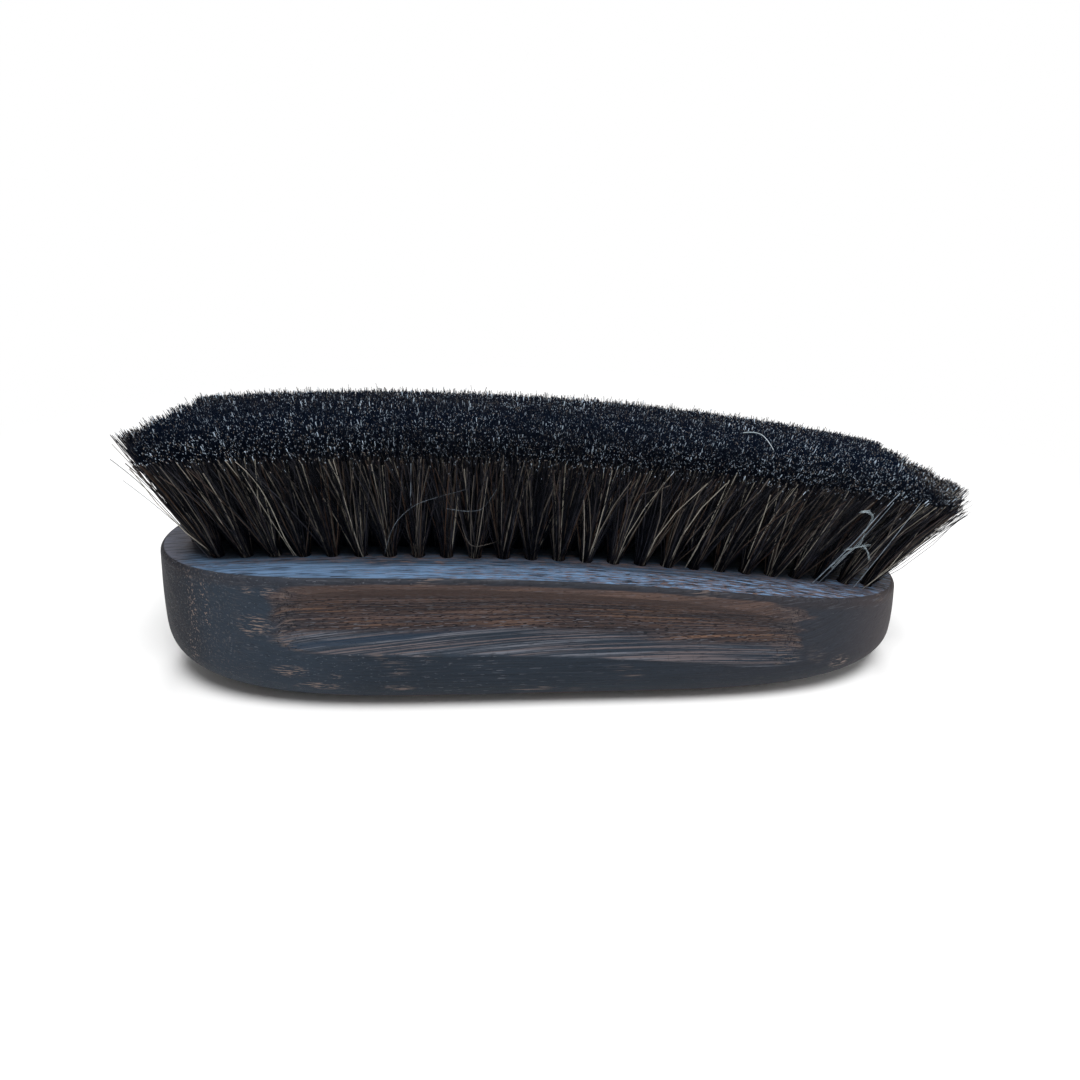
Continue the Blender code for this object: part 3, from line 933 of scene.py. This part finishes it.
    # Every hair reads its tone from one upright strip of the map
    strip = named("hair_slot", "FLOAT") + (named("hair_around", "FLOAT") * STRIP_WIDTH + STRIP_FROM)
    place = graph.point(strip / float(TONE_SLOTS), named("hair_along", "FLOAT"), 0.0)
    mesh = store(mesh, UV_NAME, place, "FLOAT2", "CORNER")
    mesh = graph.add("GeometryNodeSetShadeSmooth", mesh, None, True)
    for name in ("root", "middle", "end", "slot", "size", "along", "around"):
        mesh = graph.add("GeometryNodeRemoveAttribute", mesh, None, f"hair_{name}")
    for name in ("end", "way"):
        mesh = graph.add("GeometryNodeRemoveAttribute", mesh, None, f"tuft_{name}")
    mesh = graph.add("GeometryNodeRealizeInstances", mesh)
    mesh = graph.add("GeometryNodeSetMaterial", mesh, None, value["Material"])
    graph.add("NodeGroupOutput", mesh)
    return tree


def hair_material(brush):
    """Glossy horsehair: mostly near-black, with brown, tan and a few pale hairs."""
    finish = brush.finishes
    material, graph, shader = new_material("horsehair")
    uv = graph.add("ShaderNodeUVMap", uv_map=UV_NAME)
    strip, up = graph.split(uv)[:2]
    slot = graph.math("FLOOR", strip * float(TONE_SLOTS))
    stops = [
        (0.0, tint(finish.dark_hair)),
        (0.48, tint(finish.dark_hair, 1.6)),
        (0.64, tint(finish.brown_hair)),
        (0.82, tint(finish.brown_hair, 2.0)),
        (0.86, tint(finish.rusty_hair)),
        (0.92, tint(finish.tan_hair)),
        (0.950, tint(finish.tan_hair, 1.3)),
        (0.966, tint(finish.pale_hair)),
    ]
    streak = graph.add("ShaderNodeTexNoise", uv, None, 9.0, 2.0)
    tones = graph.shaded(graph.ramp(slot / float(TONE_SLOTS), stops), streak.remap(0.3, 0.7, 0.8, 1.2))

    # Painted shade: looking down between the ends it is nearly black, and it is as dark low between the rows
    place = graph.add("ShaderNodeTexCoord", output=3)
    x, y, z = graph.split(place)
    outer = graph.larger(abs(x).remap(0.088, 0.093), abs(y).remap(0.0200, 0.0230))
    between = up.remap(0.91, 0.97) * (outer * -0.85 + 1.0) * y.remap(0.004, 0.020, 0.94, 0.65)
    row_shade = abs(y).remap(0.0130, 0.0112) * up.remap(0.75, 0.45) * abs(x).remap(0.078, 0.072, 0.0, 0.8)
    painted_shade = graph.larger(between, row_shade)
    gap = graph.layered(tint(finish.gap), (y.remap(-0.020, 0.004), finish.gap, 2.4))
    tones = graph.mixed(painted_shade, tones, gap)
    # Painted shade: darker towards the roots
    tones = graph.layered(tones, (up.remap(0.22, 0.02, 0.0, 0.35), finish.dark_hair, 1.5))

    # One hair in six has a cut end that catches the light, some less, and on a few it runs further down
    chance = graph.math("FRACT", slot * CHANCE_STEP)
    showy = graph.math("GREATER_THAN", slot, TONE_SLOTS - 1.5)
    spot = graph.add("ShaderNodeTexNoise", place, None, 70.0, 2.0)
    lit_end = (up - (showy * -SHOWY_LIT_LENGTH + LIT_FROM)).remap(0.0, 0.004)
    lit_end = lit_end * graph.math("GREATER_THAN", chance, LIT_CHANCE)
    lit_end = lit_end * chance.remap(LIT_CHANCE, FULLY_LIT_CHANCE, 0.30, 1.0) * (showy * 0.2 + 0.8)
    lit_end = lit_end * spot.remap(0.35, 0.65, 0.45, 1.0)
    browner = graph.math("GREATER_THAN", graph.math("FRACT", slot / 3.0), 0.5)
    lit = graph.layered(tint(finish.tip), (browner, finish.lit_brown, 1.0))
    set_shader(graph, shader, graph.mixed(lit_end, tones, lit), 0.36, painted_shade * -0.045 + 0.05)
    return material


class BRUSH_OT_hair_rows(bpy.types.Operator):
    """Grows the rows of horsehair, two pieces for each row"""

    bl_idname = "brush.hair_rows"
    bl_label = "Rows of hair"

    def execute(self, context):
        brush = context.scene.polishing_brush
        tree, material = hair_tree(), hair_material(brush)
        names = [f"group_{group}" for group in range(1, GROUPS_IN_A_ROW + 1)]
        for row, tufts in enumerate(tuft_places(brush), start=1):
            middle, cut = round(len(tufts) / 2), GROUPS_IN_A_ROW // 2
            halves = (("deep_end", tufts[:middle], names[:cut]), ("shallow_end", tufts[middle:], names[cut:]))
            for half, (end_name, half_tufts, groups) in enumerate(halves):
                mesh = hair_mesh(brush, tree, material, row, half, half_tufts)
                piece = new_piece(f"hair_row_{row}_{end_name}", mesh, material)
                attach(piece, BODY)
                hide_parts(*[f"tufts_row_{row}_{group}" for group in groups])
        return {"FINISHED"}


def hair_mesh(brush, tree, material, row, half, tufts):
    """The hair of one half of a row, grown by the node tree from its tufts' feet."""
    sizes = brush.tufts
    top, slope, bend = trim_terms(brush)
    feet = bpy.data.meshes.new("tuft_feet")
    feet.from_pydata([base for base, tip in tufts], [], [])
    ends = feet.attributes.new("tuft_end", "FLOAT_VECTOR", "POINT")
    ways = feet.attributes.new("tuft_way", "FLOAT_VECTOR", "POINT")
    for place, (base, tip) in enumerate(tufts):
        ends.data[place].vector = tip
        ways.data[place].vector = drill_axis(brush, base, tip)
    source = new_piece("tuft_feet", feet)
    modifier = source.modifiers.new("hair", "NODES")
    modifier.node_group = tree
    values = {
        "Hairs in a tuft": sizes.hairs,
        "Hair thickness": sizes.thickness,
        "Foot radius": sizes.foot_radius,
        "Fan along": sizes.fan_along,
        "Fan across": sizes.fan_across,
        "Trim height": top,
        "Trim slope": slope,
        "Trim bend": bend,
        "Trim roughness": sizes.roughness,
        "Bow": sizes.bow,
        "Edge place": sizes.tip_place,
        "Points on a hair": OUTER_HAIR_POINTS if row in (1, len(TUFTS_IN_ROWS)) else INNER_HAIR_POINTS,
        "Seed": ROW_SEEDS * row + HALF_ROW_SEEDS * half,
        "Material": material,
    }
    for item in tree.interface.items_tree:
        if item.in_out == "INPUT" and item.name in values:
            modifier[item.identifier] = values[item.name]
    mesh = baked_mesh(source)
    source.modifiers.remove(modifier)
    bpy.data.objects.remove(source)
    if not len(mesh.polygons):
        raise RuntimeError("no hair grew")
    return mesh


# Stray hairs and lint

FRONT_HAIR_SHARE = 0.75
THREAD_RESOLUTION = 5
THREAD_SHARE = 0.8
THREAD_TAPER = 0.35
FLYAWAY_SIZE = 1.35
LINT_SEED = 5
LINT_STRANDS = 5
LINT_STRAND_SIZE = 0.5
LINT_LOOSENESS = 0.0003
LINT_FUZZ = 4
LINT_FUZZ_SIZE = 0.32
LINT_FUZZ_LENGTH = 0.0008
PALE, TAN, GREY, FLUFF, DARK = range(5)
STRAY_TONES = 5
# Each stray has a tone, a thickness in hairs, and places: along the block as a share of half its length, up
# the hair as a share of its height, and where it isn't 1, how far it leans out as a share of the front hair's lean
STRAYS = (
    (PALE, 1.5, ((-0.635, 0.02, 0.0), (-0.652, 0.16, 0.6), (-0.673, 0.61), (-0.703, 0.88), (-0.732, 1.0))),
    (PALE, 1.0, ((-0.640, 0.02, 0.0), (-0.690, 0.55), (-0.722, 0.90))),
    (PALE, 1.5, ((-0.470, 0.0, 0.4), (-0.476, 0.07, 0.8), (-0.497, 0.54), (-0.516, 1.0))),
    (PALE, 1.3, ((-0.400, 0.1, 0.0), (-0.406, 0.45, 0.8), (-0.407, 0.94))),
    (GREY, 1.6, ((-0.350, 0.3, 0.0), (-0.347, 0.52), (-0.342, 0.96))),
    (TAN, 1.5, ((-0.340, 0.0, 0.5), (-0.336, 0.30), (-0.331, 0.62), (-0.318, 1.02))),
    (GREY, 0.45, ((-0.415, 0.05, 0.9), (-0.400, 0.32, 1.1), (-0.350, 0.55, 1.1), (-0.300, 0.64, 1.1),
                  (-0.210, 0.73))),
    (GREY, 0.5, ((-0.262, 0.53), (-0.200, 0.50, 1.1), (-0.166, 0.57, 1.1), (-0.142, 0.75))),
    (TAN, 0.8, ((-0.225, 0.34, 0.8), (-0.213, 0.19, 1.1), (-0.194, 0.14, 1.15), (-0.160, 0.17, 1.1),
                (-0.136, 0.18, 0.7))),
    (TAN, 1.1, ((-0.190, 0.0, 0.5), (-0.200, 0.45), (-0.226, 0.95))),
    (TAN, 1.3, ((-0.125, 0.0, 0.5), (-0.131, 0.50), (-0.131, 1.06))),
    (PALE, 1.6, ((0.083, 0.0, 0.8), (0.080, 0.34), (0.066, 0.67))),
    (TAN, 1.1, ((0.020, 0.0, 0.8), (0.012, 0.55), (0.004, 0.85))),
    (PALE, 1.1, ((0.170, 0.05, 0.4), (0.198, 0.63), (0.220, 1.0))),
    (TAN, 0.9, ((0.180, 0.70, 0.8), (0.226, 0.80, 1.1), (0.266, 0.89, 1.1))),
    (PALE, 1.8, ((0.352, 0.02, 0.8), (0.372, 0.30), (0.392, 0.66, 1.05), (0.409, 0.98))),
    (PALE, 1.2, ((0.360, 0.05, 0.4), (0.394, 0.55), (0.424, 1.06))),
    (TAN, 1.4, ((0.425, 0.0, 0.8), (0.457, 0.45), (0.481, 0.82), (0.504, 1.04))),
    (PALE, 1.2, ((0.510, 0.02, 0.5), (0.530, 0.56), (0.551, 0.80, 1.1), (0.579, 1.02))),
    (TAN, 1.3, ((0.600, 0.0, 0.5), (0.648, 0.40), (0.670, 0.73))),
    (PALE, 1.2, ((0.650, 0.1, 0.2), (0.694, 0.69), (0.708, 1.02))),
    (GREY, 2.2, ((0.705, 0.0, 0.5), (0.765, 0.47), (0.806, 0.86), (0.836, 1.08))),
    (GREY, 1.3, ((0.720, 0.0, 0.4), (0.780, 0.50, 1.05), (0.830, 0.98))),
    (GREY, 1.4, ((0.820, 0.02, 0.5), (0.866, 0.59), (0.897, 1.02))),
    (PALE, 1.2, ((0.845, 0.02, 0.6), (0.921, 0.46), (0.986, 0.91))),
)
# The lint: a fluffy thread in three parts, given as the strays are
LINT = (
    ((0.749, 0.86, 1.15), (0.764, 0.89, 1.2), (0.783, 0.84, 1.2), (0.783, 0.75, 1.15), (0.782, 0.64, 1.1),
     (0.784, 0.52, 1.1), (0.771, 0.46, 1.1), (0.756, 0.39, 1.1), (0.735, 0.22)),
    ((0.750, 0.44, 1.1), (0.770, 0.49, 1.2), (0.806, 0.54, 1.15)),
    ((0.790, 0.53, 1.1), (0.812, 0.46, 1.2), (0.822, 0.38, 1.1)),
)
# Flyaway hairs past both ends, and one thick curved hair lying on the trimmed top, in metres
FLYAWAYS = (
    (DARK, 1.0, ((-0.0765, -0.0125, 0.0340), (-0.0830, -0.0140, 0.0455),
                 (-0.0890, -0.0140, 0.0540), (-0.0937, -0.0140, 0.0584))),
    (TAN, 0.9, ((-0.0765, -0.0110, 0.0340), (-0.0850, -0.0120, 0.0490), (-0.0935, -0.0120, 0.0610))),
    (DARK, 0.8, ((-0.0765, -0.0100, 0.0330), (-0.0840, -0.0135, 0.0460), (-0.0915, -0.0150, 0.0540))),
    (DARK, 0.8, ((-0.0770, -0.0060, 0.0330), (-0.0860, -0.0070, 0.0500), (-0.0945, -0.0070, 0.0600))),
    (TAN, 1.0, ((0.0815, -0.0070, 0.0235), (0.0915, -0.0080, 0.0335), (0.0970, -0.0080, 0.0390),
                (0.1025, -0.0080, 0.0422))),
    (DARK, 0.9, ((0.0815, -0.0060, 0.0235), (0.0925, -0.0070, 0.0335), (0.1010, -0.0070, 0.0390))),
    (DARK, 0.8, ((0.0815, -0.0040, 0.0235), (0.0935, -0.0050, 0.0370), (0.1020, -0.0050, 0.0450))),
    (FLUFF, 1.6, ((0.0492, 0.0085, 0.0562), (0.0514, 0.0068, 0.0572), (0.0534, 0.0030, 0.0572),
                  (0.0534, -0.0030, 0.0561))),
)


def stray_place(brush, at, up, out=1.0):
    """A place in front of the front row's hair, from its shares."""
    sizes = brush.tufts
    x = at * brush.block.length / 2
    low, high = face_height(brush, x), tip_height(brush, x)
    foot = sizes.outer_place + sizes.hole_diameter / 2 * out
    lean = sizes.tip_place + sizes.fan_across * FRONT_HAIR_SHARE - sizes.outer_place
    return Vector((x, -(foot + lean * up * out), low + up * (high - low)))


def thread_piece(name, threads, radius, material):
    """A piece made of threads that get thinner, each with its tone in a strip of the piece's map."""
    bm = bmesh.new()
    layer = bm.loops.layers.uv.new(UV_NAME)
    for tone, thickness, places in threads:
        last = len(places) - 1
        shares = [THREAD_SHARE * thickness * (1.0 - THREAD_TAPER * number / last) for number in range(last + 1)]
        known = len(bm.faces)
        bm.from_mesh(bar_mesh(name, "NURBS", radius, 1, places, shares))
        bm.faces.ensure_lookup_table()
        for face in bm.faces[known:]:
            for corner, loop in enumerate(face.loops):
                side = 0.3 + 0.4 * (corner % 2)
                loop[layer].uv = ((tone + side) / STRAY_TONES, 0.25 + 0.5 * (corner // 2 % 2))
    return new_piece(name, mesh_from(bm, name), material)


def stray_material(brush):
    """Single hairs and lint, by the strip that they read."""
    finish = brush.finishes
    material, graph, shader = new_material("stray_hair")
    strip = graph.split(graph.add("ShaderNodeUVMap", uv_map=UV_NAME))[0]
    tones = (
        tint(finish.pale_hair),
        tint(finish.tan_hair, 1.6),
        tint(finish.tip, 0.34),
        tint(finish.lint),
        tint(finish.brown_hair, 1.5),
    )
    stops = [(number / STRAY_TONES, tone) for number, tone in enumerate(tones)]
    streak = graph.add("ShaderNodeTexNoise", graph.add("ShaderNodeTexCoord", output=3), None, 900.0, 2.0)
    colours = graph.shaded(graph.ramp(strip, stops, "CONSTANT"), streak.remap(0.3, 0.7, 0.65, 1.2))
    set_shader(graph, shader, colours, 0.4, 0.3)
    return material


class BRUSH_OT_strays(bpy.types.Operator):
    """Adds single pale, tan and dark hairs, flyaways and a wisp of lint"""

    bl_idname = "brush.strays"
    bl_label = "Strays and lint"

    def execute(self, context):
        brush = context.scene.polishing_brush
        strays = [(tone, size, [stray_place(brush, *place) for place in places]) for tone, size, places in STRAYS]
        for tone, size, places in FLYAWAYS:
            strays.append((tone, size * FLYAWAY_SIZE, [Vector(place) for place in places]))
        material = stray_material(brush)
        for name, threads in (("stray_hairs", strays), ("lint", lint_threads(brush))):
            piece = thread_piece(name, threads, brush.tufts.thickness / 2, material)
            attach(piece, BODY)
        return {"FINISHED"}


def lint_threads(brush):
    """The lint's fine strands, and the short fuzz that stands off them."""
    draw = random.Random(LINT_SEED)

    def drawn(size):
        """A random vector."""
        return Vector([draw.uniform(-size, size) for axis in range(3)])

    threads = []
    for places in LINT:
        line = [stray_place(brush, *place) for place in places]
        for strand in range(LINT_STRANDS):
            threads.append((FLUFF, LINT_STRAND_SIZE, [place + drawn(LINT_LOOSENESS) for place in line]))
        for start, stop in zip(line, line[1:]):
            for tuft in range(LINT_FUZZ):
                foot = start.lerp(stop, draw.random())
                way = drawn(1.0) * LINT_FUZZ_LENGTH
                bend = drawn(1.0) * LINT_LOOSENESS
                threads.append((FLUFF, LINT_FUZZ_SIZE, [foot, foot + way / 2 + bend, foot + way]))
    return threads


# The stage

WHITE = (1.0, 1.0, 1.0, 1.0)
FLOOR_SIZE = 6.0
WORLD_LIGHT = 0.28
SHADOW_FROM = 0.13
SHADOW_TO = 0.26
SENSOR_WIDTH = 36.0
LENS = 32.33
SHIFT_X = -0.0034
SHIFT_Y = -0.0016
NEAREST = 0.01
LAMP_TARGET = (0.0, 0.0, 0.03)
# Each lamp's name, place, size and power
LAMPS = (
    ("overhead_lamp", (0.05, -0.38, 1.0), 0.6, 14.0),
    ("back_lamp", (0.1, 0.8, 0.7), 0.6, 5.0),
    ("side_lamp", (1.0, -0.3, 0.35), 0.5, 2.0),
)


class BRUSH_OT_stage(bpy.types.Operator):
    """Sets up the pale floor, the soft light and the camera"""

    bl_idname = "brush.stage"
    bl_label = "Stage"

    def execute(self, context):
        scene = context.scene
        brush = scene.polishing_brush
        scene.view_settings.view_transform = "Standard"
        add_floor(brush)
        add_lights(scene)
        add_camera(scene, brush.stage)
        return {"FINISHED"}


def seen_rays(graph):
    """The rays that should meet plain white: those of the camera, of reflections and through clear things."""
    rays = graph.add("ShaderNodeLightPath")
    seen = graph.larger(rays["Is Camera Ray"], rays["Is Glossy Ray"])
    return graph.larger(seen, rays["Is Transmission Ray"])


def add_floor(brush):
    """A pale floor that keeps the shadow near the brush and is plain white further off."""
    material, graph, shader = new_material("pale_floor")
    graph.put(shader.inputs["Base Color"], tint(brush.stage.floor))
    graph.put(shader.inputs["Roughness"], 0.9)
    away = graph.vector("LENGTH", graph.add("ShaderNodeTexCoord", output=3), output=1)
    share_white = away.remap(SHADOW_FROM, SHADOW_TO) * seen_rays(graph)
    white = graph.add("ShaderNodeEmission", WHITE, 1.0)
    mix = graph.add("ShaderNodeMixShader", share_white, Value(graph, shader.outputs[0]), white)
    graph.put(material.node_tree.nodes["Material Output"].inputs[0], mix)
    bm = bmesh.new()
    bmesh.ops.create_grid(bm, x_segments=2, y_segments=2, size=FLOOR_SIZE)
    floor = new_piece("floor", mesh_from(bm, "floor"), material)


def add_lights(scene):
    """A wide soft lamp overhead, weaker ones behind and at the side, and an even pale world."""
    world = bpy.data.worlds.new("studio")
    scene.world = world
    world.use_nodes = True
    graph = Graph(world.node_tree)
    light = world.node_tree.nodes["Background"]
    graph.put(light.inputs[0], WHITE)
    graph.put(light.inputs[1], WORLD_LIGHT)
    white = graph.add("ShaderNodeBackground", WHITE, 1.0)
    mix = graph.add("ShaderNodeMixShader", seen_rays(graph), Value(graph, light.outputs[0]), white)
    graph.put(world.node_tree.nodes["World Output"].inputs[0], mix)
    for name, place, size, power in LAMPS:
        lamp = bpy.data.lights.new(name, "AREA")
        lamp.shape = "DISK"
        lamp.size = size
        lamp.energy = power
        thing = bpy.data.objects.new(name, lamp)
        scene.collection.objects.link(thing)
        thing.location = place
        thing.rotation_euler = (Vector(LAMP_TARGET) - thing.location).to_track_quat("-Z", "Y").to_euler()


def add_camera(scene, view):
    """The camera at the photograph's viewing angle."""
    camera = bpy.data.cameras.new("camera")
    camera.sensor_width = SENSOR_WIDTH
    camera.lens = LENS
    camera.clip_start = NEAREST
    camera.shift_x = SHIFT_X
    camera.shift_y = SHIFT_Y
    thing = bpy.data.objects.new("camera", camera)
    scene.collection.objects.link(thing)
    level = math.cos(view.rise)
    back = Vector((math.sin(view.yaw) * level, -math.cos(view.yaw) * level, math.sin(view.rise)))
    right = Vector((math.cos(view.yaw), math.sin(view.yaw), 0.0))
    up = back.cross(right)
    turned_right = right * math.cos(view.roll) + up * math.sin(view.roll)
    turned_up = up * math.cos(view.roll) - right * math.sin(view.roll)
    matrix = Matrix((turned_right, turned_up, back)).transposed().to_4x4()
    matrix.translation = Vector((0.0, 0.0, view.target)) + back * view.distance
    thing.matrix_world = matrix
    scene.camera = thing


class BRUSH_PT_panel(bpy.types.Panel):
    """Lists the brush's pieces"""

    bl_idname = "BRUSH_PT_panel"
    bl_label = "Polishing brush"
    bl_space_type = "VIEW_3D"
    bl_region_type = "UI"
    bl_category = "Brush"

    def draw(self, context):
        for operator in OPERATORS:
            self.layout.operator(operator.bl_idname)


OPERATORS = (BRUSH_OT_wooden_block, BRUSH_OT_hair_rows, BRUSH_OT_strays, BRUSH_OT_stage)
SETTINGS = (BlockSizes, GrooveSizes, TuftSizes, Finishes, StageSettings, BrushSettings)
CLASSES = SETTINGS + OPERATORS + (BRUSH_PT_panel,)


def register():
    for item in CLASSES:
        bpy.utils.register_class(item)
    bpy.types.Scene.polishing_brush = group(BrushSettings, "Polishing brush", "All settings of the brush")


def unregister():
    del bpy.types.Scene.polishing_brush
    for item in reversed(CLASSES):
        bpy.utils.unregister_class(item)


def main():
    register()
    bpy.ops.brush.wooden_block()
    bpy.ops.brush.hair_rows()
    bpy.ops.brush.strays()
    bpy.ops.brush.stage()


if __name__ == "__main__":
    main()
